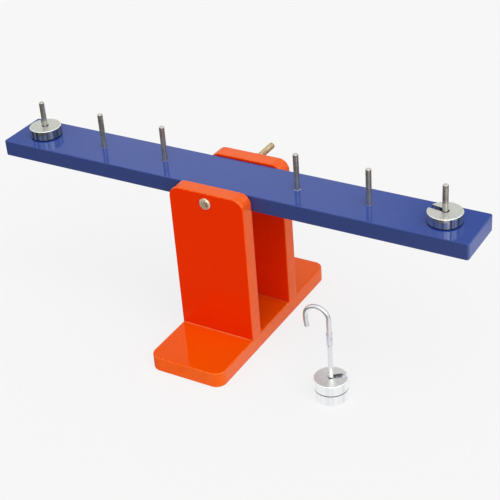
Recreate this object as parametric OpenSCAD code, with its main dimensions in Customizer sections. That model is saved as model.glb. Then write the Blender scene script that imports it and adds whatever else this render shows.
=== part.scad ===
// Lever model for the classroom: a beam that rocks on a bolt between two painted uprights,
// with six steel pegs for slotted weights, and a hooked weight hanger that stands beside it.
// Origin: middle of the base's underside. +X runs along the beam, +Y away from the bolt's head, +Z up.

/* [Stand] */
// Width of the base and of both uprights, along the beam
stand_w = 75; // [60:1:110]
// Depth of the base, from front to back
base_d = 200; // [160:1:300]
// Thickness of the base board
base_t = 15; // [12:0.5:22]
// Radius of the base's four corners, seen from above
base_corner_r = 10; // [3:0.5:20]
// Thickness of each upright
upright_t = 15; // [12:0.5:22]
// Height of the uprights above the base
upright_h = 144; // [110:1:200]
// Radius of the uprights' top corners
upright_corner_r = 10; // [3:0.5:20]
// Clear space between the two uprights
upright_gap = 54; // [46:1:76]
// Softening of every long edge of the base and the uprights
stand_edge_r = 1.2; // [0.4:0.1:2]

/* [Beam] */
// Thickness of the beam
beam_t = 15; // [12:0.5:20]
// Radius of the beam's four corners, seen from above
beam_corner_r = 2.5; // [2:0.5:12]
// Softening of the beam's long edges
beam_edge_r = 0.8; // [0.4:0.1:2]
// Running gap between the beam and each upright
beam_side_gap = 0.5; // [0.3:0.1:1.5]
// How far the beam's top lies below the uprights' tops
beam_drop = 2; // [0:0.5:10]
// Wood from the outermost pegs to the beam's ends
beam_end = 31; // [22:1:60]

/* [Pegs] */
// Diameter of each peg
peg_d = 5; // [4:0.5:7]
// Height of each peg above the beam
peg_h = 34; // [20:1:60]
// Distance from the pivot to the first peg, and from peg to peg
peg_pitch = 68; // [60:1:90]
// Depth of each peg in the beam
peg_depth = 10; // [8:0.5:11]
// Bevel round a peg's top
peg_bevel = 0.6; // [0.2:0.1:1]
// Width of the shoulder on which a peg stands; below it the peg is turned down to fill its hole
peg_shoulder = 0.5; // [0.3:0.1:0.8]
// Bevel round the shoulder
peg_foot_bevel = 0.2; // [0.1:0.05:0.25]

/* [Pivot bolt] */
// Diameter of the bolt
bolt_d = 6; // [4:0.5:8]
// How far the bolt stands out behind the rear upright
bolt_tail = 35; // [14:1:60]
// Bevel round the bolt's free end
bolt_bevel = 0.8; // [0.3:0.1:1.2]
// Diameter of the bolt's head
bolt_head_d = 11; // [10:0.5:16]
// Height of the bolt's head
bolt_head_h = 3.4; // [2.5:0.1:5]
// Rise of the head's crown above its rim
bolt_crown_h = 1.9; // [0.8:0.1:2.2]
// Width of the driver slot
bolt_slot_w = 1.5; // [1:0.1:2]
// Depth of the driver slot
bolt_slot_depth = 1.6; // [1:0.1:2.2]
// Turn of the driver slot from level, in degrees
bolt_slot_turn = 75; // [0:5:175]
// Nut size across its flats
nut_flats = 10; // [10:0.5:14]
// Thickness of the nut
nut_t = 5; // [3:0.5:7]
// Diameter of the washer under the nut
washer_d = 12; // [11:0.5:18]
// Thickness of the washer
washer_t = 1.6; // [1:0.1:2.5]

/* [Slotted weights] */
// Diameter of the slotted weights and of the hanger's base
weight_d = 30; // [24:0.5:40]
// Thickness of each slotted weight
weight_t = 10; // [6:0.5:14]
// Gap all round a peg in a weight's middle hole
weight_hole_gap = 0.9; // [0.4:0.1:1.2]
// Gap on each side of a peg in a weight's slot
weight_slot_gap = 0.2; // [0.1:0.1:0.3]
// Bevel round both rims of a weight
weight_bevel = 0.5; // [0.2:0.1:1]
// Direction in which the left weight's slot opens, in degrees from +X
left_slot_turn = 135; // [0:5:355]
// Direction in which the right weight's slot opens, in degrees from +X
right_slot_turn = 170; // [0:5:355]
// Direction in which the hanger weight's slot opens, in degrees from +X
hanger_slot_turn = 39; // [0:1:359]

/* [Hanger] */
// Distance of the hanger to the right of the stand's middle
hanger_right = 128.5; // [90:0.5:200]
// Distance of the hanger in front of the stand's middle
hanger_front = 65.5; // [55:0.5:120]
// Thickness of the hanger's base disc
hanger_base_t = 10; // [6:0.5:14]
// Bevel round the base disc's rims
hanger_base_bevel = 0.9; // [0.3:0.1:1.5]
// Diameter of the rod and of the hook's wire
wire_d = 4.2; // [3:0.1:4.6]
// Height from the table to the sleeve's lower end
sleeve_z = 53.5; // [40:0.5:80]
// Length of the sleeve that joins the rod and the hook
sleeve_l = 13; // [8:0.5:20]
// Wall of the sleeve
sleeve_wall = 0.5; // [0.3:0.1:0.8]
// Straight neck between the sleeve and the hook's bend
neck_l = 12; // [5:0.5:20]
// Radius of the hook's bend, to the middle of the wire
hook_r = 11; // [8:0.5:16]
// Radius at which the hook's tip curls in
tip_curl_r = 60; // [30:1:90]
// How far the tip curls in towards the neck, in degrees
tip_turn = 11; // [4:1:20]

/* [Screws] */
// Diameter of a screw's shank
screw_d = 4; // [3:0.5:5]
// Diameter of a screw's countersunk head
screw_head_d = 8; // [7:0.5:10]
// Length of a screw
screw_l = 38; // [30:1:50]
// Distance between the two screws of an upright
screw_pitch = 44; // [24:1:50]
// How far a screw's head lies inside the base
screw_set = 0.5; // [0.2:0.1:1]

/* [Hidden] */
$fn = 72;

// Named clearances and the overrun of every cut
seat_gap = 0.02;
pivot_gap = 0.05;
bolt_hole_gap = 0.1;
cut = 2;

// Small details that follow the piece that carries them
nut_chamfer_share = 0.58;
screw_rim = 0.6;
screw_point = 6;
rod_rise = 0.5;

// Heights and places that follow from the sizes above
stand_h = base_t + upright_h;
beam_top = stand_h - beam_drop;
beam_bottom = beam_top - beam_t;
pivot_z = beam_top - beam_t / 2;
beam_w = upright_gap - 2 * beam_side_gap;
peg_places = [-3, -2, -1, 1, 2, 3];
beam_l = 2 * (max(peg_places) * peg_pitch + beam_end);
upright_y = upright_gap / 2;
back_y = upright_y + upright_t;
sleeve_top = sleeve_z + sleeve_l;
sleeve_mid = sleeve_z + sleeve_l / 2;
bend_z = sleeve_top + neck_l;
peg_tenon_d = peg_d - 2 * peg_shoulder;
weight_hole_d = peg_d + 2 * weight_hole_gap;
weight_slot_w = peg_d + 2 * weight_slot_gap;

// Colours of the finishes
orange_paint = "#E6400F";
blue_paint = "#3D4A94";
bright_steel = "#BFC0BA";
nickel_plate = "#D9DCE0";
yellow_zinc = "#C8A75A";
zinc_plate = "#B9BDC0";

// Outline of a board's softened edge, from a corner's middle out to the face
module edge_outline(reach, thick, soft) {
    square([reach - soft, thick]);
    translate([0, soft]) square([reach, thick - 2 * soft]);
    for (z = [soft, thick - soft])
        translate([reach - soft, z]) circle(r = soft);
}

// Board lying flat, with round corners and softened edges all round
module soft_board(long, wide, thick, corner, soft) {
    inner = [long - 2 * corner, wide - 2 * corner];
    translate([0, 0, thick / 2]) cube([inner[0], inner[1], thick], center = true);
    for (side = [0:3]) {
        out = inner[side % 2] / 2;
        along = inner[(side + 1) % 2];
        rotate([0, 0, 90 * side]) translate([out, 0, 0]) {
            rotate([90, 0, 0]) linear_extrude(along, center = true)
                edge_outline(corner, thick, soft);
            translate([0, along / 2, 0]) rotate_extrude(angle = 90)
                edge_outline(corner, thick, soft);
        }
    }
}

// Turned disc with a bevel round both rims
module bevelled_disc(d, thick, bevel) {
    r = d / 2;
    rotate_extrude() polygon([
        [0, 0], [r - bevel, 0], [r, bevel],
        [r, thick - bevel], [r - bevel, thick], [0, thick]
    ]);
}

// Lies along +Y from the origin
module along_y() {
    rotate([-90, 0, 0]) children();
}

// Space for a shaft along the pivot's line, from one Y to another
module pivot_bore(r, from_y, to_y) {
    translate([0, from_y, pivot_z]) along_y() cylinder(r = r, h = to_y - from_y);
}

// Countersunk wood screw standing on its head; grow widens it to the hole that it fills
module screw_form(grow) {
    head_r = screw_head_d / 2 + grow;
    shank_r = screw_d / 2 + grow;
    cone_top = screw_rim + head_r - shank_r;
    rotate_extrude() polygon([
        [0, 0], [head_r, 0], [head_r, screw_rim], [shank_r, cone_top],
        [shank_r, screw_l - screw_point], [0, screw_l + grow]
    ]);
}

// Puts a child at each of the screws of the upright on one side, front -1 or rear 1
module at_screws(side) {
    for (x = [-1, 1])
        translate([x * screw_pitch / 2, side * (upright_y + upright_t / 2), screw_set])
            children();
}

module base_board() {
    color(orange_paint) difference() {
        soft_board(stand_w, base_d, base_t, base_corner_r, stand_edge_r);
        for (side = [-1, 1]) at_screws(side) {
            screw_form(seat_gap);
            translate([0, 0, -cut]) cylinder(d = screw_head_d + 2 * seat_gap, h = cut);
        }
    }
}

// Board that stands on the base with its inner face at +Y upright_y
module upright() {
    difference() {
        translate([0, back_y, stand_h - (upright_h + upright_corner_r) / 2])
            rotate([90, 0, 0])
                soft_board(stand_w, upright_h + upright_corner_r, upright_t, upright_corner_r, stand_edge_r);
        translate([0, upright_y + upright_t / 2, base_t - (upright_corner_r + cut) / 2])
            cube([stand_w + cut, upright_t + cut, upright_corner_r + cut], center = true);
        pivot_bore(bolt_d / 2 + bolt_hole_gap, upright_y - cut, back_y + cut);
        at_screws(1) screw_form(seat_gap);
    }
}

module front_upright() {
    color(orange_paint) mirror([0, 1, 0]) upright();
}

module rear_upright() {
    color(orange_paint) upright();
}

module upright_screws() {
    color(zinc_plate) for (side = [-1, 1]) at_screws(side) screw_form(0);
}

// Slotted pan-head bolt, its head against the front face and its tail standing out behind
module pivot_bolt() {
    head_r = bolt_head_d / 2;
    crown_r = (head_r * head_r + bolt_crown_h * bolt_crown_h) / (2 * bolt_crown_h);
    shank_r = bolt_d / 2;
    shank_l = 2 * back_y + bolt_tail;
    color(yellow_zinc) translate([0, -back_y, pivot_z]) {
        along_y() rotate_extrude() polygon([
            [0, 0], [shank_r, 0], [shank_r, shank_l - bolt_bevel],
            [shank_r - bolt_bevel, shank_l], [0, shank_l]
        ]);
        difference() {
            mirror([0, 1, 0]) along_y() rotate_extrude() intersection() {
                square([head_r, bolt_head_h]);
                translate([0, bolt_head_h - crown_r]) circle(r = crown_r);
            }
            translate([0, -bolt_head_h, 0]) rotate([0, -bolt_slot_turn, 0])
                cube([bolt_head_d + cut, 2 * bolt_slot_depth, bolt_slot_w], center = true);
        }
    }
}

module pivot_washer() {
    color(zinc_plate) translate([0, back_y, pivot_z]) along_y() difference() {
        cylinder(d = washer_d, h = washer_t);
        translate([0, 0, -cut]) cylinder(d = bolt_d + 2 * bolt_hole_gap, h = washer_t + 2 * cut);
    }
}

// Hexagon nut with its corners turned off, one flat up
module pivot_nut() {
    corners_d = nut_flats / cos(30);
    chamfer = (corners_d - nut_flats) / 2;
    fall = chamfer * nut_chamfer_share;
    color(yellow_zinc) translate([0, back_y + washer_t, pivot_z]) along_y() difference() {
        intersection() {
            cylinder(d = corners_d, h = nut_t, $fn = 6);
            rotate_extrude() polygon([
                [0, 0], [nut_flats / 2, 0], [corners_d / 2, fall],
                [corners_d / 2, nut_t - fall], [nut_flats / 2, nut_t], [0, nut_t]
            ]);
        }
        translate([0, 0, -cut]) cylinder(d = bolt_d + 2 * seat_gap, h = nut_t + 2 * cut);
    }
}

module beam() {
    color(blue_paint) difference() {
        translate([0, 0, beam_bottom]) soft_board(beam_l, beam_w, beam_t, beam_corner_r, beam_edge_r);
        pivot_bore(bolt_d / 2 + pivot_gap, -back_y, back_y);
        for (place = peg_places)
            translate([place * peg_pitch, 0, beam_top - peg_depth])
                cylinder(d = peg_tenon_d + 2 * seat_gap, h = peg_depth + cut);
    }
}

// Steel peg, counted from the left: its shoulder stands on the beam and its thinner end fills the hole
module peg(index) {
    r = peg_d / 2;
    tenon_r = peg_tenon_d / 2;
    color(bright_steel) translate([peg_places[index] * peg_pitch, 0, beam_top]) rotate_extrude() polygon([
        [0, -peg_depth], [tenon_r, -peg_depth], [tenon_r, 0], [r - peg_foot_bevel, 0],
        [r, peg_foot_bevel], [r, peg_h - peg_bevel], [r - peg_bevel, peg_h], [0, peg_h]
    ]);
}

// Slotted weight lying flat, its slot open towards +X
module slotted_weight() {
    difference() {
        bevelled_disc(weight_d, weight_t, weight_bevel);
        translate([0, 0, -cut]) cylinder(d = weight_hole_d, h = weight_t + 2 * cut);
        translate([0, -weight_slot_w / 2, -cut])
            cube([weight_d / 2 + cut, weight_slot_w, weight_t + 2 * cut]);
    }
}

module left_weight() {
    color(bright_steel) translate([min(peg_places) * peg_pitch, 0, beam_top])
        rotate([0, 0, left_slot_turn]) slotted_weight();
}

module right_weight() {
    color(bright_steel) translate([max(peg_places) * peg_pitch, 0, beam_top])
        rotate([0, 0, right_slot_turn]) slotted_weight();
}

// Stands a child at the hanger's place on the table
module at_hanger() {
    translate([hanger_right, -hanger_front, 0]) children();
}

module hanger_base() {
    color(nickel_plate) at_hanger() difference() {
        bevelled_disc(weight_d, hanger_base_t, hanger_base_bevel);
        translate([0, 0, -cut]) cylinder(d = wire_d + 2 * seat_gap, h = hanger_base_t + 2 * cut);
    }
}

module hanger_rod() {
    color(nickel_plate) at_hanger() translate([0, 0, rod_rise])
        cylinder(d = wire_d, h = sleeve_mid - rod_rise);
}

module hanger_sleeve() {
    inner_r = wire_d / 2 + seat_gap;
    outer_r = inner_r + sleeve_wall;
    lip = sleeve_wall / 2;
    color(nickel_plate) at_hanger() translate([0, 0, sleeve_z]) rotate_extrude() polygon([
        [inner_r, 0], [outer_r - lip, 0], [outer_r, lip],
        [outer_r, sleeve_l - lip], [outer_r - lip, sleeve_l], [inner_r, sleeve_l]
    ]);
}

// Bent wire that leaves the origin along +Z and turns towards -X
module wire_bend(bend_r, turn) {
    translate([-bend_r, 0, 0]) rotate([90, 0, 0])
        rotate_extrude(angle = turn) translate([bend_r, 0]) circle(d = wire_d);
}

// Wire hook: up out of the sleeve, over the bend and down the tip, which curls in a little
module hanger_hook() {
    color(nickel_plate) at_hanger() {
        translate([0, 0, sleeve_mid]) cylinder(d = wire_d, h = bend_z - sleeve_mid);
        translate([0, 0, bend_z]) wire_bend(hook_r, 180);
        translate([-2 * hook_r, 0, bend_z]) rotate([0, 180, 0]) wire_bend(tip_curl_r, tip_turn);
    }
}

module hanger_weight() {
    color(nickel_plate) at_hanger() translate([0, 0, hanger_base_t])
        rotate([0, 0, hanger_slot_turn]) slotted_weight();
}

base_board();
front_upright();
rear_upright();
upright_screws();
pivot_bolt();
pivot_washer();
pivot_nut();
beam();
peg(0);  // peg_1
peg(1);  // peg_2
peg(2);  // peg_3
peg(3);  // peg_4
peg(4);  // peg_5
peg(5);  // peg_6
left_weight();
right_weight();
hanger_base();
hanger_rod();
hanger_sleeve();
hanger_hook();
hanger_weight();
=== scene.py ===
"""Looks of the classroom lever model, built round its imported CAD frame.

Sizes in the classes are millimetres, in the CAD model's own frame, and publish() turns them to metres.
Origin: middle of the base's underside. +X runs along the beam, +Y away from the bolt's head, +Z up.
"""

import logging
import math
from dataclasses import dataclass, field, replace
from enum import Enum
from functools import cache, partial
from typing import Callable, Iterable, Sequence, Union

import bmesh
import bpy
from bmesh.types import BMEdge, BMesh, BMVert
from bpy.types import ID, Material, Mesh, Node, NodeSocket, NodeTree, Object, World
from mathutils import Matrix, Quaternion, Vector, noise


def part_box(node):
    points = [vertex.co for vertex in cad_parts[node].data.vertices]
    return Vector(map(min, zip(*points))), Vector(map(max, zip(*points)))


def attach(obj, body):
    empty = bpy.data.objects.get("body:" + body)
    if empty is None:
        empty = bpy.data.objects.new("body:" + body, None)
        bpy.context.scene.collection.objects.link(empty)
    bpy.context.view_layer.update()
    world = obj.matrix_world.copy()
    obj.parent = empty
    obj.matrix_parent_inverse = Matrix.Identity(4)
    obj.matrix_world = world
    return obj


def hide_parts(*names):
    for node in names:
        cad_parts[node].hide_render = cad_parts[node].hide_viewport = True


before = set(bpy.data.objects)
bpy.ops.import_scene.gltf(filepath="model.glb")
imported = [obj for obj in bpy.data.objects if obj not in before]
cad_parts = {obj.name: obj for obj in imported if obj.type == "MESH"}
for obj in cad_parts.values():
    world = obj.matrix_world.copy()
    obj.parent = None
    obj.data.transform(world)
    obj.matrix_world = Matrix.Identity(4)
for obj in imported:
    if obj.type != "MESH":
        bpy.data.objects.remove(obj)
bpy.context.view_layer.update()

MM = 0.001
WELD = 1e-4
LOG = logging.getLogger("lever_model")
Colour = tuple[float, float, float, float]
Point = tuple[float, float]
Triple = tuple[float, float, float]
NodeInput = Union[Node, NodeSocket, str, float, Sequence[float]]
Inputs = dict[Union[str, int], NodeInput]
Adder = Callable[..., Node]


class Slot(Enum):
    """Material slots of the record, by what they are painted or plated with."""

    ORANGE = "orange_paint"
    BLUE = "blue_paint"
    STEEL = "bright_steel"
    NICKEL = "nickel_plate"
    YELLOW_ZINC = "yellow_zinc"
    ZINC = "zinc_plate"


class Body(Enum):
    """Bodies of the CAD model that a piece can ride on."""

    STAND = "stand"
    BEAM = "beam"
    LEFT_WEIGHT = "left_weight"
    RIGHT_WEIGHT = "right_weight"
    HANGER = "hanger"
    HANGER_WEIGHT = "hanger_weight"


class PegEnd(Enum):
    """How the lathe or the saw left a peg's top: radius and depth of each corner, towards the middle."""

    FACED = ((0.0, 0.0),)
    DRILLED = ((0.75, 0.0), (0.6, 0.25), (0.0, 0.75))
    STEPPED = ((1.55, 0.0), (1.45, 0.3), (0.95, 0.3), (0.85, 0.02), (0.0, 0.0))


def linear(hex_colour: str) -> Colour:
    """Turns an sRGB hex colour to linear values.

    Args:
        hex_colour: colour written as #RRGGBB.

    Returns:
        Red, green, blue and an alpha of one.
    """
    parts = [int(hex_colour[i : i + 2], 16) / 255 for i in (1, 3, 5)]
    return (*(p / 12.92 if p <= 0.04045 else ((p + 0.055) / 1.055) ** 2.4 for p in parts), 1.0)


def add_node(
    tree: NodeTree, kind: str, inputs: Union[Inputs, Sequence[NodeInput]] = (),
    stops: Sequence[tuple[float, Colour]] = (), **settings: object,
) -> Node:
    """Adds a node with its settings, its input values and the links into it.

    Args:
        tree: node tree that gets the node.
        kind: Blender's name of the node type, without ShaderNode.
        inputs: what goes into each named input, or into the first ones in their order. It is a value, a
            colour as #RRGGBB, a socket, or a node, which gives its first output in use.
        stops: places and colours of a colour ramp.
        settings: the node's own properties.

    Returns:
        The new node.
    """
    node = tree.nodes.new(f"ShaderNode{kind}")
    for name, value in settings.items():
        setattr(node, name, value)
    for key, value in inputs.items() if isinstance(inputs, dict) else enumerate(inputs):
        if isinstance(value, Node):
            value = next(socket for socket in value.outputs if socket.enabled)
        if isinstance(value, NodeSocket):
            tree.links.new(value, node.inputs[key])
        else:
            node.inputs[key].default_value = linear(value) if isinstance(value, str) else value
    for index, (place, colour) in enumerate(stops):
        ramp = node.color_ramp.elements
        element = ramp[index] if index < len(ramp) else ramp.new(place)
        element.position, element.color = place, colour
    return node


def emptied(data: Union[Material, World]) -> Adder:
    """Empties the node tree of a new material or world.

    Args:
        data: the material or world.

    Returns:
        What adds a node to it.
    """
    data.use_nodes = True
    data.node_tree.nodes.clear()
    return partial(add_node, data.node_tree)


@dataclass(frozen=True, kw_only=True)
class Finish:
    """A real finish, which knows its slot and adds its own nodes."""

    name: str
    slot: Slot

    def surface(self, add: Adder) -> Inputs:
        """Adds the finish's nodes.

        Args:
            add: adds a node.

        Returns:
            The shader's inputs.
        """
        raise NotImplementedError


@cache
def material_of(finish: Finish) -> Material:
    """Builds a finish's material, once.

    Args:
        finish: the finish.

    Returns:
        Its material.
    """
    material = bpy.data.materials.new(finish.name)
    add = emptied(material)
    add("OutputMaterial", (add("BsdfPrincipled", finish.surface(add)),))
    return material


@dataclass(frozen=True, kw_only=True)
class Enamel(Finish):
    """Gloss enamel, sprayed on sealed and sanded board and left to level.

    Gives the eye a saturated colour under a hard gloss with a faint orange peel. The sawn edges are satin
    and carry a painted sheen that makes them paler, the long sides can carry a painted shade, painted top
    light and a little dust lighten what faces up, and knocks along a top edge show the filler under the
    paint.
    """

    colour: str
    deep: str
    pale_sheen: str
    sheen_faces: Triple
    sheen_share: float
    side_shade: str = ""
    filler: str = "#F1A384"
    chips: float = 0.0
    dust_and_top_light: float = 0.1
    top_light_tone: str = ""
    peel_mm: float = 1.7
    wave_mm: float = 24.0
    tone_mm: float = 42.0
    cloud_mm: float = 9.0
    chip_mm: float = 2.2
    smear_mm: float = 16.0
    gloss: float = 0.05
    haze_gloss: float = 0.12
    edge_gloss: float = 0.05
    ior: float = 1.4
    tint: Colour = (1.0, 1.0, 1.0, 1.0)
    slot: Slot = Slot.ORANGE

    def surface(self, add: Adder) -> Inputs:
        """Adds the enamel's nodes.

        Args:
            add: adds a node.

        Returns:
            The shader's inputs.
        """
        where = add("TexCoord")
        place, facing = where.outputs["Object"], where.outputs["Normal"]
        size = add("VectorMath", (facing,), operation="ABSOLUTE")
        sides, axes = add("SeparateXYZ", (size,)), add("SeparateXYZ", (facing,))
        tone, cloud, grit, smear, peel, wave = (
            add("TexNoise", {"Vector": place, "Scale": 1 / (mm * MM), "Detail": detail, "Roughness": rough})
            for mm, detail, rough in (
                (self.tone_mm, 2.0, 0.5), (self.cloud_mm, 3.0, 0.5), (self.chip_mm, 4.0, 0.7),
                (self.smear_mm, 5.0, 0.5), (self.peel_mm, 1.0, 0.5), (self.wave_mm, 1.0, 0.5),
            )
        )
        # The long sides along Y can get the side shade, a painted shade, and take their own roughness
        long_sides = add("MapRange", (sides.outputs["Y"], 0.5, 0.9))
        # Sawn edge faces, found by the way they face, get a painted sheen: paler paint in soft clouds
        along = add("VectorMath", (size, self.sheen_faces), operation="DOT_PRODUCT")
        edge = add("MapRange", (along, 0.5, 0.9, 0.0, self.sheen_share), interpolation_type="SMOOTHSTEP")
        sheen_mask = add("Math", (edge, add("MapRange", (cloud, 0.35, 0.62, 0.8))), operation="MULTIPLY")
        # What faces up is painted lighter: a little dust, and mostly painted top light
        top_lit = add("MapRange", (axes.outputs["Z"], 0.4, 1.0, 0.0, self.dust_and_top_light))
        # Chips of about 1 mm lie along the softened top edges only
        low = add("MapRange", (axes.outputs["Z"], 0.25, 0.45))
        high = add("MapRange", (axes.outputs["Z"], 0.86, 0.97, 1.0, 0.0))
        rim = add("Math", (low, high), operation="MULTIPLY")
        knocked = add("MapRange", (grit, 0.52, 0.6, 0.0, self.chips))
        chip = add("Math", (rim, knocked), operation="MULTIPLY")
        colour: NodeInput = self.deep
        for share, coat in (
            (tone, self.colour),
            (long_sides, self.side_shade or self.colour),
            (sheen_mask, self.pale_sheen),
            (top_lit, self.top_light_tone or self.pale_sheen),
            (chip, self.filler),
        ):
            colour = add("Mix", {0: share, 6: colour, 7: coat}, data_type="RGBA")
        # The broad faces are glossy and the hazy edges satin
        smeared = add("MapRange", (smear, 0.35, 0.7, self.gloss, self.gloss + 0.03))
        evened = add("Mix", {0: long_sides, 2: smeared, 3: self.edge_gloss}, data_type="FLOAT")
        rough = add("Math", (sheen_mask, self.haze_gloss, evened), operation="MULTIPLY_ADD")
        # Orange peel and the slow waves of levelled paint, as heights in metres
        slow = add("Bump", {"Height": wave, "Distance": 0.00012})
        bump = add("Bump", {"Height": peel, "Distance": 0.000006, "Normal": slow})
        shine = {"IOR": self.ior, "Specular Tint": self.tint}
        return {"Base Color": colour, "Roughness": rough, "Normal": bump, **shine}


@dataclass(frozen=True, kw_only=True)
class DrawnSteel(Finish):
    """Bright drawn mild steel bar, cut to length and left bare.

    Gives the eye a mid grey metal with fine draw lines along the bar and a brownish film in patches.
    """

    name: str = "drawn_steel_bar"
    bright: str = "#BDBBB2"
    grey: str = "#8C8E90"
    film: str = "#8C8070"
    cut: str = "#DEDCD6"
    line_mm: float = 0.35
    patch_mm: float = 5.0
    held_from: float = 168.0
    slot: Slot = Slot.STEEL

    def surface(self, add: Adder) -> Inputs:
        """Adds the steel's nodes.

        Args:
            add: adds a node.

        Returns:
            The shader's inputs.
        """
        where = add("TexCoord")
        place = where.outputs["Object"]
        # Draw lines run along Z, so Z is squeezed about forty times
        fine = 1 / (self.line_mm * MM)
        drawn = add("Mapping", {"Vector": place, "Scale": (fine, fine, 70.0)})
        lines = add("TexNoise", {"Vector": drawn, "Scale": 1.0, "Detail": 3.0})
        patch = add("TexNoise", {"Vector": place, "Scale": 1 / (self.patch_mm * MM), "Detail": 4.0})
        both = add("Math", (lines, patch), operation="ADD")
        worn = add("MapRange", (both, 0.78, 1.25))
        # The upper half, where fingers take hold, has browned
        height, facing = (add("SeparateXYZ", (v,)).outputs["Z"] for v in (place, where.outputs["Normal"]))
        held = add("MapRange", (height, self.held_from * MM, (self.held_from + 10) * MM))
        # The ends were faced on a lathe, which leaves them bright
        faced = add("MapRange", (facing, 0.3, 0.8))
        colour: NodeInput = self.grey
        for share, coat in ((held, self.film), (worn, self.bright), (faced, self.cut)):
            colour = add("Mix", {0: share, 6: colour, 7: coat}, data_type="RGBA")
        rough = add("MapRange", (both, 0.7, 1.3, 0.36, 0.26))
        bump = add("Bump", {"Height": lines, "Distance": 0.000003})
        return {"Base Color": colour, "Metallic": 0.8, "Roughness": rough, "Normal": bump}


@dataclass(frozen=True, kw_only=True)
class TurnedMetal(Finish):
    """Bar turned on a lathe: faced ends with rings, and a polished rim with painted upright reflection
    streaks.
    """

    seat_z: float
    centre: Point = (0.0, 0.0)
    colour: str = "#F6F8F0"
    shade: str = "#E8EAE2"
    smudge: str = "#8F948D"
    rim_light_streak: str = "#FFFFF4"
    rim_dark_streak: str = "#4E544E"
    contact_shadow: str = "#161E48"
    face_gloss: float = 0.32
    rim_gloss: Point = (0.05, 0.3)
    ring_mm: float = 0.45
    smudge_mm: float = 3.0
    contact_shadow_mm: float = 1.5
    mottle: float = 0.12
    streaks: float = 5.0
    edge_dull: float = 0.3
    seed: float = 0.0
    slot: Slot = Slot.STEEL

    def surface(self, add: Adder) -> Inputs:
        """Adds the turned metal's nodes.

        Args:
            add: adds a node.

        Returns:
            The shader's inputs.
        """
        where = add("TexCoord")
        place = where.outputs["Object"]
        to_axis = (-self.centre[0] * MM, -self.centre[1] * MM, 0.0)
        centred = add("Mapping", {"Vector": place, "Location": to_axis})
        flat = add("VectorMath", (centred, (1.0, 1.0, 0.0)), operation="MULTIPLY")
        radius = add("VectorMath", (flat,), operation="LENGTH")
        around = add("VectorMath", (flat,), operation="NORMALIZE")
        count = add("Math", (radius, 1 / (self.ring_mm * MM)), operation="MULTIPLY")
        rings = add("TexNoise", {"W": count, "Scale": 1.0, "Detail": 2.0}, noise_dimensions="1D")
        # Painted reflection streaks, light and dark, run from the top of the rim to its foot, so they
        # change only with the angle
        turned_on = add("VectorMath", (around, (0.0, 0.0, self.seed)))
        streak = add("TexNoise", {"Vector": turned_on, "Scale": self.streaks, "Detail": 3.0})
        sharp = add("MapRange", (streak, 0.34, 0.64))
        height, facing = (add("SeparateXYZ", (v,)).outputs["Z"] for v in (place, where.outputs["Normal"]))
        upward = add("Math", (facing,), operation="ABSOLUTE")
        level, face = add("MapRange", (upward, 0.8, 0.95)), add("MapRange", (upward, 0.3, 0.6))
        lines = add("Mix", {0: face, 2: streak, 3: rings}, data_type="FLOAT")
        depth = add("MapRange", (face, 0.0, 1.0, 0.00008, 0.00001))
        bump = add("Bump", {"Height": lines, "Distance": depth})
        # Handling leaves cloudy patches a few millimetres wide
        patch = add("TexNoise", {"Vector": place, "Scale": 1 / (self.smudge_mm * MM), "Detail": 4.0})
        dulled = add("MapRange", (patch, 0.42, 0.68, 0.0, self.mottle))
        faced, painted_streaks = (
            add("Mix", {0: share, 6: low, 7: high}, data_type="RGBA")
            for share, low, high in (
                (rings, self.shade, self.colour),
                (sharp, self.rim_dark_streak, self.rim_light_streak),
            )
        )
        faced = add("Mix", {0: dulled, 6: faced, 7: self.smudge}, data_type="RGBA")
        clean = add("Mix", {0: face, 6: painted_streaks, 7: faced}, data_type="RGBA")
        # A dark band is painted where the disc sits on what is below it: a painted contact shadow
        above = add("Math", (height, self.seat_z * MM), operation="SUBTRACT")
        apart = add("Math", (above,), operation="ABSOLUTE")
        shadow_band = add("MapRange", (apart, 0.6 * self.contact_shadow_mm * MM, self.contact_shadow_mm * MM, 1.0, 0.0))
        on_side = add("Math", (1.0, level), operation="SUBTRACT")
        line = add("Math", (shadow_band, on_side), operation="MULTIPLY")
        colour = add("Mix", {0: line, 6: clean, 7: self.contact_shadow}, data_type="RGBA")
        # The bevelled edges are rubbed dull
        side_rough = add("MapRange", (sharp, 0.0, 1.0, *self.rim_gloss))
        rough = add("Mix", {0: face, 2: side_rough, 3: self.face_gloss}, data_type="FLOAT")
        edge = add("Math", (face, level), operation="SUBTRACT")
        dull = add("Math", (edge, self.edge_dull, rough), operation="MULTIPLY_ADD")
        return {"Base Color": colour, "Metallic": 1.0, "Roughness": dull, "Normal": bump}


@dataclass(frozen=True, kw_only=True)
class BrightNickel(Finish):
    """Bright nickel plate on polished steel wire: nearly a mirror, with a soft unevenness under it."""

    name: str = "bright_nickel_plate"
    colour: str = "#E4E5E8"
    strike: str = "#8C4A2E"
    spots: tuple[Triple, ...] = ()
    spot_mm: float = 0.9
    ripple_mm: float = 3.5
    slot: Slot = Slot.NICKEL

    def surface(self, add: Adder) -> Inputs:
        """Adds the plate's nodes.

        Args:
            add: adds a node.

        Returns:
            The shader's inputs.
        """
        place = add("TexCoord").outputs["Object"]
        ripple = add("TexNoise", {"Vector": place, "Scale": 1 / (self.ripple_mm * MM), "Detail": 2.0})
        bump = add("Bump", {"Height": ripple, "Distance": 0.00004})
        film = add("MapRange", (ripple, 0.3, 0.7, 0.16, 0.24))
        colour: NodeInput = self.colour
        for spot in self.spots:
            # The copper strike shows where the plate is thin
            gap = add("VectorMath", (place, tuple(v * MM for v in spot)), operation="DISTANCE")
            ragged = add("TexNoise", {"Vector": place, "Scale": 1 / (0.8 * MM), "Detail": 3.0})
            reach = add("Math", (ragged, -self.spot_mm * MM, gap), operation="MULTIPLY_ADD")
            worn = add("MapRange", (reach, 0.0, 0.3 * self.spot_mm * MM, 1.0, 0.0))
            colour = add("Mix", {0: worn, 6: colour, 7: self.strike}, data_type="RGBA")
        return {"Base Color": colour, "Metallic": 0.8, "Roughness": film, "Normal": bump}


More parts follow.
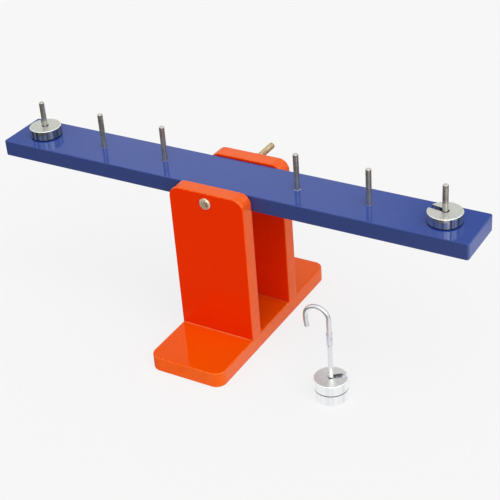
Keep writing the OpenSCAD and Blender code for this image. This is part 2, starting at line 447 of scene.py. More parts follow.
@dataclass(frozen=True, kw_only=True)
class Zinc(Finish):
    """Zinc plate, barrel plated; the yellow passivated kind shifts between gold, pink and green."""

    tints: tuple[str, ...]
    cloud_mm: float = 2.6
    grain_mm: float = 0.5
    gloss: float = 0.2
    metal: float = 1.0
    slot: Slot = Slot.ZINC

    def surface(self, add: Adder) -> Inputs:
        """Adds the plate's nodes.

        Args:
            add: adds a node.

        Returns:
            The shader's inputs.
        """
        place = add("TexCoord").outputs["Object"]
        cloud, grain = (
            add("TexNoise", {"Vector": place, "Scale": 1 / (wide * MM), "Detail": 2.0})
            for wide in (self.cloud_mm, self.grain_mm)
        )
        last = max(1, len(self.tints) - 1)
        stops = [(0.3 + 0.4 * index / last, linear(tint)) for index, tint in enumerate(self.tints)]
        rough = add("MapRange", (grain, 0.0, 1.0, self.gloss - 0.06, self.gloss + 0.1))
        bump = add("Bump", {"Height": grain, "Distance": 0.00001})
        tint = add("ValToRGB", (cloud,), stops)
        return {"Base Color": tint, "Metallic": self.metal, "Roughness": rough, "Normal": bump}


@dataclass(frozen=True, kw_only=True)
class Adhesive(Finish):
    """Clear epoxy that squeezed out when a peg was pressed in: a pale, slightly cloudy bead."""

    name: str = "epoxy_squeeze_out"
    colour: str = "#8A92B0"
    shade: str = "#6A7398"
    cloud_mm: float = 1.2
    ior: float = 1.52
    slot: Slot = Slot.STEEL

    def surface(self, add: Adder) -> Inputs:
        """Adds the epoxy's nodes.

        Args:
            add: adds a node.

        Returns:
            The shader's inputs.
        """
        place = add("TexCoord").outputs["Object"]
        cloud = add("TexNoise", {"Vector": place, "Scale": 1 / (self.cloud_mm * MM), "Detail": 2.0})
        tint = add("Mix", {0: cloud, 6: self.shade, 7: self.colour}, data_type="RGBA")
        return {"Base Color": tint, "Roughness": 0.22, "IOR": self.ior}


def bevel(mesh: BMesh, edges: Iterable[BMEdge], offset: float, segments: int) -> None:
    """Rounds edges with the settings of the editor.

    Args:
        mesh: the mesh that is being built.
        edges: edges to round.
        offset: width of the round, in millimetres.
        segments: facets across the round.
    """
    bmesh.ops.bevel(
        mesh, geom=list(edges), offset=offset, offset_type="OFFSET", segments=segments, profile=0.5,
        affect="EDGES", clamp_overlap=True, material=-1,
    )


def turned(profile: Sequence[Point], steps: int = 72, closed: bool = False) -> BMesh:
    """Turns a profile round Z.

    Args:
        profile: radius and height of each corner, from the bottom to the top.
        steps: facets round the axis.
        closed: whether the profile is a ring's section, whose last corner joins the first.

    Returns:
        The closed turned mesh.
    """
    mesh = bmesh.new()
    corners = [mesh.verts.new((r, 0.0, z)) for r, z in profile]
    pairs = list(zip(corners, corners[1:])) + ([(corners[-1], corners[0])] if closed else [])
    geom = corners + [mesh.edges.new(pair) for pair in pairs]
    bmesh.ops.spin(
        mesh, geom=geom, cent=(0, 0, 0), axis=(0, 0, 1), angle=math.tau, steps=steps, use_merge=True
    )
    bmesh.ops.remove_doubles(mesh, verts=mesh.verts, dist=WELD)
    bmesh.ops.recalc_face_normals(mesh, faces=mesh.faces)
    return mesh


def both_ends(lower: Sequence[Point], total: float) -> list[Point]:
    """Returns a profile from its lower half, which the upper mirrors; total is twin heights added."""
    return [*lower, *((r, total - z) for r, z in reversed(lower))]


def block(size: Sequence[float], centre: Sequence[float]) -> BMesh:
    """Makes a box.

    Args:
        size: length along each axis.
        centre: middle of the box.

    Returns:
        The box as a mesh.
    """
    mesh = bmesh.new()
    place = Matrix.Translation(centre) @ Matrix.Diagonal((*size, 1.0))
    bmesh.ops.create_cube(mesh, size=1.0, matrix=place)
    return mesh


def stored(name: str, mesh: BMesh) -> Mesh:
    """Turns a built mesh to mesh data.

    Args:
        name: name of the data.
        mesh: the mesh; it is used up.

    Returns:
        The mesh data.
    """
    data = bpy.data.meshes.new(name)
    mesh.to_mesh(data)
    mesh.free()
    return data


def linked(name: str, data: ID) -> Object:
    """Makes an object and links it to the scene.

    Args:
        name: name of the object.
        data: what it shows, such as mesh data.

    Returns:
        The object, at the origin.
    """
    item = bpy.data.objects.new(name, data)
    bpy.context.scene.collection.objects.link(item)
    return item


def carved(mesh: BMesh, cutters: Sequence[BMesh], operation: str = "DIFFERENCE") -> BMesh:
    """Cuts other meshes out of one, or keeps what they share.

    Args:
        mesh: the workpiece; it is used up.
        cutters: the tools; they are used up.
        operation: DIFFERENCE or INTERSECT.

    Returns:
        The carved mesh.
    """
    work, *tools = [linked("carving", stored("carving", source)) for source in (mesh, *cutters)]
    for tool in tools:
        cut = work.modifiers.new("cut", "BOOLEAN")
        cut.object, cut.operation, cut.solver = tool, operation, "EXACT"
    bpy.context.view_layer.update()
    result = bmesh.new()
    result.from_object(work, bpy.context.evaluated_depsgraph_get())
    for item in (work, *tools):
        data = item.data
        bpy.data.objects.remove(item)
        bpy.data.meshes.remove(data)
    bmesh.ops.remove_doubles(result, verts=result.verts, dist=WELD)
    return result


def joined(parts: Iterable[BMesh]) -> BMesh:
    """Puts several meshes into one piece.

    Args:
        parts: the meshes; they are used up.

    Returns:
        One mesh that holds them all.
    """
    whole = bmesh.new()
    for part in parts:
        data = stored("joining", part)
        whole.from_mesh(data)
        bpy.data.meshes.remove(data)
    return whole


def moved(mesh: BMesh, matrix: Matrix) -> BMesh:
    """Places a mesh by a matrix in millimetres, and returns it."""
    bmesh.ops.transform(mesh, matrix=matrix, verts=mesh.verts)
    return mesh


def publish(
    name: str, mesh: BMesh, finish: Finish, body: Body, stands_for: Sequence[str] = (), sharp: float = 38.0
) -> None:
    """Turns a finished mesh to a piece of the model that rides on its body.

    Args:
        name: name of the piece.
        mesh: its mesh in millimetres, already in place; it is used up.
        finish: its finish.
        body: the CAD body that carries it.
        stands_for: CAD nodes that it replaces.
        sharp: angle in degrees above which an edge stays sharp.
    """
    bmesh.ops.scale(mesh, vec=Vector((MM, MM, MM)), verts=mesh.verts)
    data = stored(name, mesh)
    data.materials.append(material_of(finish))
    data.polygons.foreach_set("use_smooth", [True] * len(data.polygons))
    data.set_sharp_from_angle(angle=math.radians(sharp))
    piece = linked(name, data)
    piece.modifiers.new("even_normals", "WEIGHTED_NORMAL").keep_sharp = True
    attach(piece, body.value)
    if stands_for:
        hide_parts(*stands_for)
    LOG.info("%s: %d faces on body %s", name, len(data.polygons), body.value)


def dress_node(node: str, finish: Finish) -> None:
    """Gives a CAD node its finish and leaves its shape alone.

    Args:
        node: name of the CAD node.
        finish: its finish.
    """
    data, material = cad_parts[node].data, material_of(finish)
    if data.materials:
        for index in range(len(data.materials)):
            data.materials[index] = material
    else:
        data.materials.append(material)
    LOG.info("%s: CAD solid dressed in %s", node, material.name)


def middle(node: str) -> Vector:
    """Returns the middle of a CAD node's box, in millimetres."""
    low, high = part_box(node)
    return (low + high) / 2 / MM


@dataclass
class Stand:
    """Base board and both uprights, with the screws that hold them and the bead along each foot."""

    width: float = 75.0
    base_t: float = 15.0
    inner_y: float = 27.0
    outer_y: float = 42.0
    bead_r: float = 0.9
    bead_gap: float = 1.4
    bead_sunk: float = 0.1
    bead_steps: int = 60
    wander_l: float = 7.0
    fade_l: float = 3.0
    screw_d: float = 4.0
    screw_head_d: float = 8.0
    screw_l: float = 38.0
    screw_rim: float = 0.6
    screw_soft: float = 0.15
    screw_point: float = 6.0
    screw_set: float = 0.5
    screw_x: float = 22.0
    screw_y: float = 34.5
    recess: float = 2.2
    recess_l: float = 4.4
    recess_w: float = 1.0
    recess_floor: float = 0.62

    def paint(self) -> None:
        """Gives the three boards their orange enamel, with a painted sheen on the sawn edges of each."""
        # Both finishes paint a sheen that makes the sawn edges paler, and painted top light with a little
        # dust on what faces up
        upright = Enamel(
            name="orange_enamel", colour="#E92C00", deep="#E62900", pale_sheen="#FF7028",
            sheen_faces=(1.0, 0.0, 1.0), sheen_share=0.55, chips=0.25, dust_and_top_light=0.16,
            tint=(1.0, 0.9, 0.0, 1.0),
        )
        board = replace(
            upright, colour="#F13000", deep="#EE2D00", pale_sheen="#F67C2C", sheen_faces=(1.0, 1.0, 0.0),
            chips=0.4, dust_and_top_light=0.22, top_light_tone="#FF9208",
        )
        for node, finish in (("base_board", board), ("front_upright", upright), ("rear_upright", upright)):
            dress_node(node, replace(finish, name=f"orange_enamel_{node}"))

    def bead(self, face_y: float, outward: int) -> BMesh:
        """Makes the hollow bead of paint and glue in the corner between the base and an upright.

        Args:
            face_y: Y of the upright's face.
            outward: side on which the bead lies, 1 for +Y and -1 for -Y.

        Returns:
            The bead as a mesh.
        """
        mesh = bmesh.new()
        r, half = self.bead_r, self.width / 2 - self.bead_gap
        foot = mesh.verts.new((-half, r, 0.0))
        bmesh.ops.spin(mesh, geom=[foot], cent=(-half, r, r), axis=(1, 0, 0), angle=-math.pi / 2, steps=5)
        corner = mesh.verts.new((-half, -self.bead_sunk, -self.bead_sunk))
        for end in sorted((v for v in mesh.verts if len(v.link_edges) == 1), key=lambda v: v.co.z):
            mesh.edges.new((corner, end))
        section, steps = [*mesh.verts, *mesh.edges], self.bead_steps
        bmesh.ops.spin(mesh, geom=section, axis=(1, 0, 0), dvec=(2 * half / steps, 0, 0), steps=steps)
        bmesh.ops.edgeloop_fill(mesh, edges=[e for e in mesh.edges if e.is_boundary])
        for vert in mesh.verts:
            # The bead was wiped by hand, so its width wanders and it fades at both ends
            wander = 0.85 + 0.35 * noise.noise(Vector((vert.co.x / self.wander_l, face_y, 0.0)))
            vert.co.yz *= wander * min(1.0, (half - abs(vert.co.x)) / self.fade_l + 0.25)
            vert.co.y = face_y + outward * vert.co.y
            vert.co.z += self.base_t
        bmesh.ops.recalc_face_normals(mesh, faces=mesh.faces)
        return mesh

    def screw(self) -> BMesh:
        """Makes one countersunk wood screw, standing on its head, with a cross recess.

        Returns:
            The screw as a mesh.
        """
        head_r, shank_r, soft = self.screw_head_d / 2, self.screw_d / 2, self.screw_soft
        profile = [(0, 0), (head_r - soft, 0), (head_r, soft), (head_r, self.screw_rim)]
        profile += [(shank_r, self.screw_rim + head_r - shank_r)]
        profile += [(shank_r, self.screw_l - self.screw_point), (0, self.screw_l)]
        long, wide, high = self.recess_l, self.recess_w, 2 * self.recess
        arms = [block((x, y, high), (0, 0, 0)) for x, y in ((long, wide), (wide, long))]
        for vert in (v for arm in arms for v in arm.verts if v.co.z > 0):
            # The recess tapers towards its floor, as the driver does
            vert.co.xy *= self.recess_floor
        return carved(turned(profile, steps=40), arms)

    def build(self) -> None:
        """Builds and dresses the pieces that the stand holds."""
        self.paint()
        wiped = Enamel(
            name="orange_enamel_wiped_bead", colour="#E32C00", deep="#DC2600", pale_sheen="#F2A078",
            sheen_faces=(0.0, 1.0, 1.0), sheen_share=0.05, gloss=0.16, tint=(1.0, 0.9, 0.0, 1.0),
        )
        # The front foot bead is painted paler than the others, a painted highlight, with more painted sheen
        highlit = replace(
            wiped, name="orange_enamel_highlit_bead", colour="#EE5626", deep="#EA4618", sheen_share=0.15
        )
        for name, face_y, outward, finish in (
            ("front_foot_bead", -self.outer_y, -1, highlit),
            ("front_inner_bead", -self.inner_y, 1, wiped),
            ("rear_inner_bead", self.inner_y, -1, wiped),
            ("rear_foot_bead", self.outer_y, 1, wiped),
        ):
            publish(name, self.bead(face_y, outward), finish, Body.STAND, sharp=60)
        screws = []
        for across, along, turn in ((-1, -1, 0.3), (1, -1, 0.9), (-1, 1, 0.1), (1, 1, 1.2)):
            spot = Matrix.Translation((across * self.screw_x, along * self.screw_y, self.screw_set))
            screws.append(moved(self.screw(), spot @ Matrix.Rotation(turn, 4, "Z")))
        zinc = Zinc(name="bright_zinc_plate", tints=("#A9AEB4", "#C3C7CA", "#B4B8BB"))
        publish("wood_screws", joined(screws), zinc, Body.STAND, ("upright_screws",))


@dataclass
class PivotBolt:
    """Slotted pan-head bolt with a rolled thread, its washer and its nut."""

    bolt_d: float = 6.0
    bevel: float = 0.8
    head_d: float = 11.0
    head_h: float = 3.4
    crown: float = 1.9
    crown_steps: int = 12
    slot_w: float = 1.5
    slot_depth: float = 1.6
    slot_turn: float = 75.0
    slot_soft: float = 0.12
    face_y: float = 42.0
    pitch: float = 1.0
    pitch_steps: int = 24
    root_r: float = 2.42
    crest: float = 0.12
    washer_d: float = 12.0
    washer_t: float = 1.6
    washer_soft: float = 0.2
    nut_flats: float = 10.0
    nut_t: float = 5.0
    mouth: float = 0.35
    mouth_l: float = 0.4
    play: float = 0.02
    pivot_z: float = field(default_factory=lambda: middle("pivot_nut").z)
    end_y: float = field(default_factory=lambda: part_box("pivot_bolt")[1].y / MM)

    def along_y(self, from_y: float) -> Matrix:
        """Returns the placing of a turned piece whose axis lies on the pivot's line, from that Y on."""
        return Matrix.Translation((0, from_y, self.pivot_z)) @ Matrix.Rotation(-math.pi / 2, 4, "X")

    def head(self) -> BMesh:
        """Makes the domed head with its driver slot.

        Returns:
            The head, its underside on Z zero and its crown towards -Z.
        """
        head_r = self.head_d / 2
        crown_r = (head_r**2 + self.crown**2) / (2 * self.crown)
        rim = self.head_h - self.crown
        profile = []
        for step in range(self.crown_steps):
            angle = math.asin(head_r / crown_r) * step / self.crown_steps
            height = self.head_h - crown_r + crown_r * math.cos(angle)
            profile.append((crown_r * math.sin(angle), -height))
        profile += [(head_r - 0.25, -rim - 0.12), (head_r, -rim + 0.15), (head_r, -0.15)]
        profile += [(head_r - 0.15, 0), (0, 0)]
        slot = block((self.head_d + 2, self.slot_w, 2 * self.slot_depth), (0, 0, -self.head_h))
        floor = [e for e in slot.edges if all(v.co.z > -self.head_h for v in e.verts)]
        bevel(slot, floor, self.slot_soft, 1)
        # The slot's turn counts from +X towards +Z; the head's own Y points down once it lies along Y
        turn = Matrix.Rotation(-math.radians(self.slot_turn), 3, "Z")
        bmesh.ops.rotate(slot, verts=slot.verts, matrix=turn)
        return carved(turned(profile, steps=64), [slot])

    def thread(self, length: float) -> BMesh:
        """Makes a closed rod with a rolled helical thread.

        Args:
            length: length of the threaded rod.

        Returns:
            The rod along +Z from the origin, its free end bevelled.
        """
        mesh = bmesh.new()
        major, half, flat = self.bolt_d / 2 - self.play, self.pitch / 2, self.crest
        ridge = [(self.root_r, 0.0), (major, half - flat), (major, half + flat), (self.root_r, self.pitch)]
        verts = [mesh.verts.new((r, 0, z - self.pitch)) for r, z in ridge]
        turns = int(length / self.pitch) + 3
        geom = verts + [mesh.edges.new(pair) for pair in zip(verts, verts[1:])]
        rise, steps = (0, 0, self.pitch / self.pitch_steps), self.pitch_steps * turns
        bmesh.ops.spin(
            mesh, geom=geom, cent=(0, 0, 0), axis=(0, 0, 1), dvec=rise, angle=math.tau * turns, steps=steps
        )
        bmesh.ops.remove_doubles(mesh, verts=mesh.verts, dist=1e-3)
        for height, side in ((0.0, True), (length, False)):
            bmesh.ops.bisect_plane(
                mesh, geom=[*mesh.verts, *mesh.edges, *mesh.faces], plane_co=(0, 0, height),
                plane_no=(0, 0, 1), clear_inner=side, clear_outer=not side,
            )
            loose = [e for e in mesh.edges if e.is_boundary]
            rim = [e for e in loose if all(abs(v.co.z - height) < WELD for v in e.verts)]
            bmesh.ops.edgeloop_fill(mesh, edges=rim)
        for vert in mesh.verts:
            # The rolled end tapers over its bevel
            radius = vert.co.xy.length
            allowed = self.bolt_d / 2 - self.bevel + (length - vert.co.z)
            if radius > allowed > 0:
                vert.co.xy *= allowed / radius
        bmesh.ops.recalc_face_normals(mesh, faces=mesh.faces)
        return mesh

    def nut(self) -> BMesh:
        """Makes the hexagon nut with its corners turned off on both faces.

        Returns:
            The nut, standing on Z zero.
        """
        flats, high = self.nut_flats / 2, self.nut_t
        corner_r = flats / math.cos(math.pi / 6)
        fall = (corner_r - flats) * 0.58
        hexagon = bmesh.new()
        bmesh.ops.create_cone(
            hexagon, cap_ends=True, segments=6, radius1=corner_r, radius2=corner_r, depth=high
        )
        bmesh.ops.translate(hexagon, vec=(0, 0, high / 2), verts=hexagon.verts)
        wide, narrow, low = corner_r + self.play, flats - 0.1, fall + 0.1
        outline = both_ends([(0, 0), (narrow, 0), (wide, low)], high)
        nut = carved(hexagon, [turned(outline, steps=96)], "INTERSECT")
        mouth_r, bore_r, past = self.bolt_d / 2 + self.mouth, self.bolt_d / 2 + self.play, 0.01
        bore = both_ends([(0, -past), (mouth_r, -past), (bore_r, self.mouth_l)], high)
        return carved(nut, [turned(bore, steps=48)])

    def build(self) -> None:
        """Builds and dresses the bolt, the washer and the nut."""
        # The gold's pale pink-white and brown tints are partly the plate's own shifts, partly painted
        # highlight and painted dark reflection
        gold = Zinc(
            name="yellow_zinc_plate",
            tints=("#8E7F45", "#D9C06A", "#F2E6CC", "#F6E2DE", "#8A6A48", "#DFC56C"), cloud_mm=3.6,
            gloss=0.3, metal=0.7, slot=Slot.YELLOW_ZINC,
        )
        dull = Zinc(
            name="yellow_zinc_thread", tints=("#AFA47A", "#C6BA92", "#DACAB0"), gloss=0.4, metal=0.7,
            slot=Slot.YELLOW_ZINC,
        )
        grey = Zinc(name="zinc_plated_washer", tints=("#A2A7AC", "#C0C4C7", "#AEB2B6"))
        shank_r, shank_l = self.bolt_d / 2, 2 * self.face_y
        shank = turned(both_ends([(0, 0), (shank_r, 0)], shank_l), steps=48)
        rim_r, hole_r, thick, soft = self.washer_d / 2, shank_r + 0.1, self.washer_t, self.washer_soft
        ring = [(hole_r, 0), (rim_r - 0.05, 0), (rim_r, 0.05)]
        ring += [(rim_r, thick - soft), (rim_r - soft, thick), (hole_r, thick)]
        for name, mesh, from_y, finish, nodes, sharp in (
            ("bolt_head_and_shank", joined((self.head(), shank)), -self.face_y, gold, ("pivot_bolt",), 38),
            ("bolt_thread", self.thread(self.end_y - self.face_y), self.face_y, dull, (), 30),
            ("plain_washer", turned(ring, closed=True), self.face_y, grey, ("pivot_washer",), 38),
            ("hexagon_nut", self.nut(), self.face_y + thick, gold, ("pivot_nut",), 38),
        ):
            publish(name, moved(mesh, self.along_y(from_y)), finish, Body.STAND, nodes, sharp)


@dataclass
class Beam:
    """Blue beam with its six pegs and the epoxy that squeezed out round them."""

    top: float = 157.0
    pitch: float = 68.0
    peg_d: float = 5.0
    peg_h: float = 34.0
    peg_depth: float = 10.0
    tenon_d: float = 4.0
    tenon_bevel: float = 0.3
    foot_bevel: float = 0.2
    end_bevel: float = 0.6
    places: tuple[int, ...] = (-3, -2, -1, 1, 2, 3)
    ends: tuple[PegEnd, ...] = (
        PegEnd.STEPPED, PegEnd.DRILLED, PegEnd.FACED, PegEnd.FACED, PegEnd.DRILLED, PegEnd.FACED,
    )
    squeezed: tuple[float, ...] = (0.0, 0.12, 0.15, 0.75, 0.15, 0.0)

    def peg(self, end: PegEnd) -> BMesh:
        """Makes one peg with its tenon, its shoulder at Z zero.

        Args:
            end: how its top was left.

        Returns:
            The peg as a mesh.
        """
        r, high, soft, tenon_r = self.peg_d / 2, self.peg_h, self.end_bevel, self.tenon_d / 2
        deep, lead, foot = self.peg_depth, self.tenon_bevel, self.foot_bevel
        profile = [(0.0, -deep), (tenon_r - lead, -deep), (tenon_r, lead - deep), (tenon_r, 0.0)]
        profile += [(r - foot, 0.0), (r, foot), (r, high - soft), (r - 0.15 * soft, high - 0.5 * soft)]
        profile += [(r - 0.5 * soft, high - 0.15 * soft), (r - soft, high)]
        profile += [(radius, high - depth) for radius, depth in end.value]
        return turned(profile, steps=40)

    def squeeze_out(self, index: int) -> BMesh:
        """Makes the low, uneven ring of epoxy round a peg's foot.

        Args:
            index: which peg, counted from the left.

        Returns:
            The ring as a mesh, standing on Z zero.
        """
        r, out = self.peg_d / 2, self.squeezed[index]
        sunk = r - 0.05
        section = [(sunk, 0.0), (r + out, 0.0), (r + 0.8 * out, 0.16), (r + 0.45 * out, 0.34), (sunk, 0.6)]
        ring = turned(section, steps=48, closed=True)
        for vert in ring.verts:
            radius = vert.co.xy.length
            if radius > r:
                turn = vert.co / radius
                wander = 1 + 0.35 * noise.noise(Vector((turn.x * 1.4, turn.y * 1.4, 3.7 * index)))
                grown = r + (radius - r) * wander
                vert.co.xy *= grown / radius
        return ring

    def build(self) -> None:
        """Paints the beam and builds the pegs."""
        # The beam's ends carry a painted sheen, its long sides a painted shade, and its top a little
        # painted top light
        blue = Enamel(
            name="blue_enamel_beam", colour="#27479C", deep="#244398", pale_sheen="#8994BE",
            sheen_faces=(1.0, 0.0, 0.0), sheen_share=0.2, side_shade="#2B3D79", edge_gloss=0.35, dust_and_top_light=0.03,
            ior=1.44, slot=Slot.BLUE,
        )
        dress_node("beam", blue)
        for index, (place, end) in enumerate(zip(self.places, self.ends)):
            spot = Matrix.Translation((place * self.pitch, 0, self.top))
            name = f"peg_{index + 1}"
            publish(f"{name}_bar", moved(self.peg(end), spot), DrawnSteel(), Body.BEAM, (name,))
            if self.squeezed[index]:
                ring = moved(self.squeeze_out(index), spot)
                publish(f"{name}_squeeze_out", ring, Adhesive(), Body.BEAM, sharp=60)


@dataclass
class SlottedWeight:
    """Turned disc with a middle hole and a slot, so that it slips on to a peg or rod from the side."""

    body: Body
    turn: float
    finish: TurnedMetal
    d: float = 30.0
    t: float = 10.0
    hole_d: float = 6.8
    slot_w: float = 5.4
    bevel_w: float = 0.5
    burr: float = 0.18

    def build(self) -> None:
        """Builds and dresses the weight where its CAD node lies, which has its body's name."""
        node = self.body.value
        centre = middle(node)
        r, b, t = self.d / 2, self.bevel_w, self.t
        disc = turned(both_ends([(0, 0), (r - b, 0), (r, b)], t), steps=128)
        hole = turned(both_ends([(0, -1), (self.hole_d / 2, -1)], t), steps=64)
        way = block((r + 2, self.slot_w, t + 2), ((r + 2) / 2, 0, t / 2))
        mesh = carved(disc, [hole, way])
        rims = [
            e for e in mesh.edges
            if len(e.link_faces) == 2
            and abs(e.verts[0].co.z - e.verts[1].co.z) < WELD
            and min(abs(e.verts[0].co.z), abs(e.verts[0].co.z - t)) < WELD
            and min(v.co.xy.length for v in e.verts) < r - b - 0.2
            and any(abs(f.normal.z) < 0.1 for f in e.link_faces)
        ]
        bevel(mesh, rims, self.burr, 2)
        spot = Matrix.Translation((centre.x, centre.y, centre.z - t / 2))
        place = spot @ Matrix.Rotation(math.radians(self.turn), 4, "Z")
        finish = replace(self.finish, centre=(centre.x, centre.y))
        publish(f"{node}_disc", moved(mesh, place), finish, self.body, (node,), sharp=25)


@dataclass
class Hanger:
    """Weight hanger: a turned disc, a rod, a joining sleeve and a bent wire hook."""

    disc_d: float = 30.0
    disc_t: float = 10.0
    disc_bevel: float = 0.9
    wire_d: float = 4.2
    wire_soft: float = 0.3
    tip_soft: float = 0.35
    sleeve_z: float = 53.5
    sleeve_l: float = 13.0
    sleeve_wall: float = 0.5
    play: float = 0.02
    bend_z: float = 78.5
    hook_r: float = 11.0
    tip_curl_r: float = 60.0
    tip_turn: float = 11.0
    rod_rise: float = 0.5
    centre: Vector = field(default_factory=lambda: middle("hanger_base"))

    def hook(self) -> BMesh:
        """Bends the wire: up out of the sleeve, over, and down to the tip.

        Returns:
            The hook as a mesh, its neck on the Z axis.
        """
        mesh = bmesh.new()
        foot = self.sleeve_z + self.sleeve_l / 2
        lift = Matrix.Translation((0, 0, foot))
        bmesh.ops.create_circle(mesh, segments=24, radius=self.wire_d / 2, cap_ends=True, matrix=lift)
        rise = [*mesh.verts, *mesh.edges]
        for centre_x, turn, up, steps in (
            (0.0, 0.0, self.bend_z - foot, 1),
            (-self.hook_r, 180.0, 0.0, 48),
            (-2 * self.hook_r + self.tip_curl_r, self.tip_turn, 0.0, 8),
        ):
            rise = bmesh.ops.spin(
                mesh, geom=[g for g in rise if isinstance(g, (BMEdge, BMVert))], axis=(0, -1, 0),
                cent=(centre_x, 0, self.bend_z), dvec=(0, 0, up), angle=math.radians(turn), steps=steps,
            )["geom_last"]
        tip = bmesh.ops.edgeloop_fill(mesh, edges=[g for g in rise if isinstance(g, BMEdge)])["faces"]
        bmesh.ops.remove_doubles(mesh, verts=mesh.verts, dist=WELD)
        bevel(mesh, [e for f in tip for e in f.edges], self.tip_soft, 2)
        bmesh.ops.recalc_face_normals(mesh, faces=mesh.faces)
        return mesh

    def build(self) -> None:
        """Builds and dresses the hanger."""
        x, y = self.centre.x, self.centre.y
        nickel = BrightNickel()
        spots = ((x + 2.4, y - 0.9, 61.0), (x + 0.4, y - 2.5, 53.9))
        worn = BrightNickel(name="bright_nickel_sleeve", colour="#DCDDE6", spots=spots)
        # The disc's painted reflection streaks are nearly white, and its painted contact shadow is thin
        mirror = replace(
            NICKEL_DISC, name="bright_nickel_disc", centre=(x, y), colour="#E2E3E6", shade="#D2D4D8",
            rim_dark_streak="#E6E8EA", face_gloss=0.12, contact_shadow_mm=0.7, mottle=0.12,
        )
        r, t, b, wire_r = self.disc_d / 2, self.disc_t, self.disc_bevel, self.wire_d / 2
        inner, lip = wire_r + self.play, self.sleeve_wall / 2
        outer = inner + self.sleeve_wall
        disc = both_ends([(inner, 0), (r - b, 0), (r - 0.3 * b, 0.3 * b), (r, b)], t)
        foot, low, top = self.rod_rise, self.sleeve_z, self.sleeve_z + self.sleeve_l / 2
        soft = self.wire_soft
        rod = [(0, foot), (wire_r - soft, foot), (wire_r, foot + soft), (wire_r, top), (0, top)]
        sleeve = both_ends([(inner, low), (outer - lip, low), (outer, low + 2 * lip)], 2 * top)
        for name, mesh, finish, node in (
            ("hanger_disc", turned(disc, steps=128, closed=True), mirror, "hanger_base"),
            ("hanger_wire_rod", turned(rod, steps=32), nickel, "hanger_rod"),
            ("hanger_crimped_sleeve", turned(sleeve, steps=40, closed=True), worn, "hanger_sleeve"),
            ("hanger_wire_hook", self.hook(), nickel, "hanger_hook"),
        ):
            publish(name, moved(mesh, Matrix.Translation((x, y, 0))), finish, Body.HANGER, (node,))


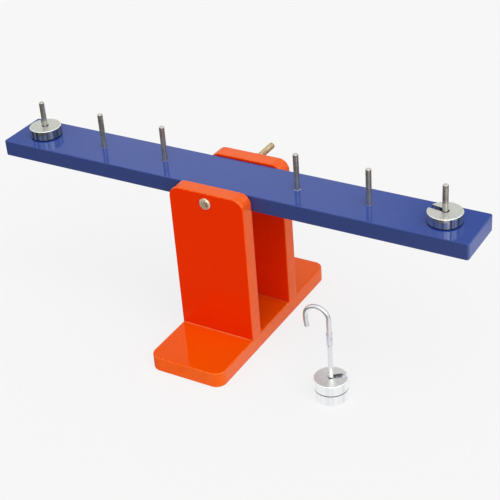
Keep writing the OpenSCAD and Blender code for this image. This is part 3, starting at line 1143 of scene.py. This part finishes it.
@dataclass
class Studio:
    """Pale floor, soft light and the camera; the floor's own sizes and places are metres."""

    azimuth: float = 32.4078
    elevation: float = 31.5583
    roll: float = -4.5148
    lens: float = 91.696
    camera_place: Triple = (543.434, -832.113, 687.631)
    pale: str = "#F9F9F9"
    floor_size: float = 12.0
    floor_drop: float = 0.0001
    floor_white: float = 0.877
    shadow_share: float = 0.2
    sky_strength: float = 0.62
    sun_strength: float = 1.53
    sun_angle: float = 70.0
    sun_from: Triple = (0.504, -0.412, 0.758)
    bright_from: Triple = (-0.483, 0.729, 0.485)
    spot_from: Point = (0.982, 0.998)
    ring_to: Point = (0.972, 0.955)
    far_share: float = 0.4
    lit_towards: Triple = (0.6, 0.8, 0.0)
    lit_from: Point = (-0.10, -0.04)
    dim_floor: str = "#6B6A66"
    behind_from: Point = (-0.03, 0.03)
    behind_share: float = 0.7
    end_from: Point = (0.385, 0.44)
    end_share: float = 0.25

    def camera(self) -> None:
        """Places the camera at the photograph's viewing angle."""
        data = bpy.data.cameras.new("camera")
        data.lens, data.sensor_width, data.sensor_fit = self.lens, 36.0, "HORIZONTAL"
        data.clip_start, data.clip_end = 0.01, 100.0
        camera = linked("camera", data)
        a, e = math.radians(self.azimuth), math.radians(self.elevation)
        back = Vector((math.sin(a) * math.cos(e), -math.cos(a) * math.cos(e), math.sin(e)))
        look = (-back).to_track_quat("-Z", "Y")
        camera.rotation_mode = "QUATERNION"
        camera.rotation_quaternion = look @ Quaternion((0, 0, 1), math.radians(self.roll))
        camera.location = Vector(self.camera_place) * MM
        bpy.context.scene.camera = camera

    def floor(self) -> None:
        """Lays the floor: plain pale to the camera, with the soft shadow of what stands on it.

        A mirror sees it white near the model, greyer behind it and at the far right, and dark out in the
        unlit front left of the room.
        """
        mesh = bmesh.new()
        place = Matrix.Translation((0, 0, -self.floor_drop))
        bmesh.ops.create_grid(mesh, x_segments=1, y_segments=1, size=self.floor_size / 2, matrix=place)
        data = stored("studio_floor", mesh)
        material = bpy.data.materials.new("studio_paper")
        add = emptied(material)
        where, path = add("TexCoord").outputs["Object"], add("LightPath").outputs
        along = add("VectorMath", (where, self.lit_towards), operation="DOT_PRODUCT")
        lit = add("MapRange", (along, *self.lit_from))
        seen = add("Mix", {0: lit, 6: self.dim_floor, 7: self.pale}, data_type="RGBA")
        # The stand's right sides mirror the paper behind it, and the beam's end the paper far to the right
        across = add("SeparateXYZ", (where,))
        behind = add("MapRange", (across.outputs["Y"], *self.behind_from, 1.0, self.behind_share))
        far = add("MapRange", (along, *self.end_from, 1.0, self.end_share))
        mirror = add("Emission", (seen, add("Math", (behind, far), operation="MULTIPLY")))
        plain = add("Emission", (self.pale, 1.0))
        paper = add("BsdfDiffuse", ((*(self.floor_white,) * 3, 1.0),))
        shown = add("MixShader", (self.shadow_share, plain, paper))
        sheen = add("Math", (path["Is Glossy Ray"], path["Is Transmission Ray"]), operation="MAXIMUM")
        other = add("MixShader", (sheen, paper, mirror))
        add("OutputMaterial", (add("MixShader", (path["Is Camera Ray"], other, shown)),))
        data.materials.append(material)
        floor = linked("studio_floor", data)

    def light(self) -> None:
        """Hangs an even sky and one very soft lamp above, to the front right."""
        world = bpy.data.worlds.new("studio")
        add = emptied(world)
        path = add("LightPath").outputs
        sheen = add("Math", (path["Is Glossy Ray"], path["Is Transmission Ray"]), operation="MAXIMUM")
        seen = add("Math", (sheen, path["Is Camera Ray"]), operation="MAXIMUM")
        # The wall behind the model has a dimmer ring round the bright spot that the beam's middle mirrors
        place = add("TexCoord").outputs["Generated"]
        towards = add("VectorMath", (place, self.bright_from), operation="DOT_PRODUCT")
        spot, beyond = (
            add("MapRange", (towards, *reach), interpolation_type="SMOOTHSTEP")
            for reach in (self.spot_from, self.ring_to)
        )
        lit = add("Math", (spot, beyond), operation="MAXIMUM")
        white = linear(self.pale)[0]
        wall = add("MapRange", (lit, 0.0, 1.0, self.far_share * white, white))
        mirrored = add("Mix", {0: sheen, 2: white, 3: wall}, data_type="FLOAT")
        strength = add("Mix", {0: seen, 2: self.sky_strength, 3: mirrored}, data_type="FLOAT")
        add("OutputWorld", (add("Background", ((1.0, 1.0, 1.0, 1.0), strength)),))
        bpy.context.scene.world = world
        lamp = bpy.data.lights.new("soft_key", "SUN")
        lamp.energy, lamp.angle = self.sun_strength, math.radians(self.sun_angle)
        key = linked("soft_key", lamp)
        key.rotation_mode = "QUATERNION"
        key.rotation_quaternion = (-Vector(self.sun_from)).to_track_quat("-Z", "Y")

    def build(self) -> None:
        """Sets up the camera, the floor and the light."""
        self.camera()
        self.floor()
        self.light()
        bpy.context.scene.view_settings.view_transform = "Standard"


# The weights' metals: the left one's steel with dimmer painted reflection streaks, and the nickel that the
# hanger's disc varies
STEEL_DISC = TurnedMetal(name="turned_steel_left_weight", seat_z=157.0, rim_light_streak="#CDD1C8", seed=5.0)
NICKEL_DISC = TurnedMetal(
    name="turned_nickel_hanger_weight", seat_z=10.0, colour="#FCFFFC", shade="#F3F6F0", mottle=0.1,
    streaks=3.5, rim_light_streak="#FBFBFC", rim_dark_streak="#E2E4E6", contact_shadow="#2E3A3E", face_gloss=0.4,
    rim_gloss=(0.08, 0.2), contact_shadow_mm=0.6, slot=Slot.NICKEL,
)


def main() -> None:
    """Builds the studio and every sub-assembly in order."""
    logging.basicConfig(level=logging.INFO, format="%(name)s: %(message)s")
    # The right weight's copy has brighter painted reflection streaks than the left's
    brighter_streaks = replace(STEEL_DISC, name="turned_steel_right_weight", rim_light_streak="#FFFFF4", seed=9.0)
    for assembly in (
        Studio(), Stand(), PivotBolt(), Beam(),
        SlottedWeight(Body.LEFT_WEIGHT, 135.0, STEEL_DISC),
        SlottedWeight(Body.RIGHT_WEIGHT, 170.0, brighter_streaks),
        SlottedWeight(Body.HANGER_WEIGHT, 39.0, NICKEL_DISC),
        Hanger(),
    ):
        assembly.build()


if __name__ == "__main__":
    main()
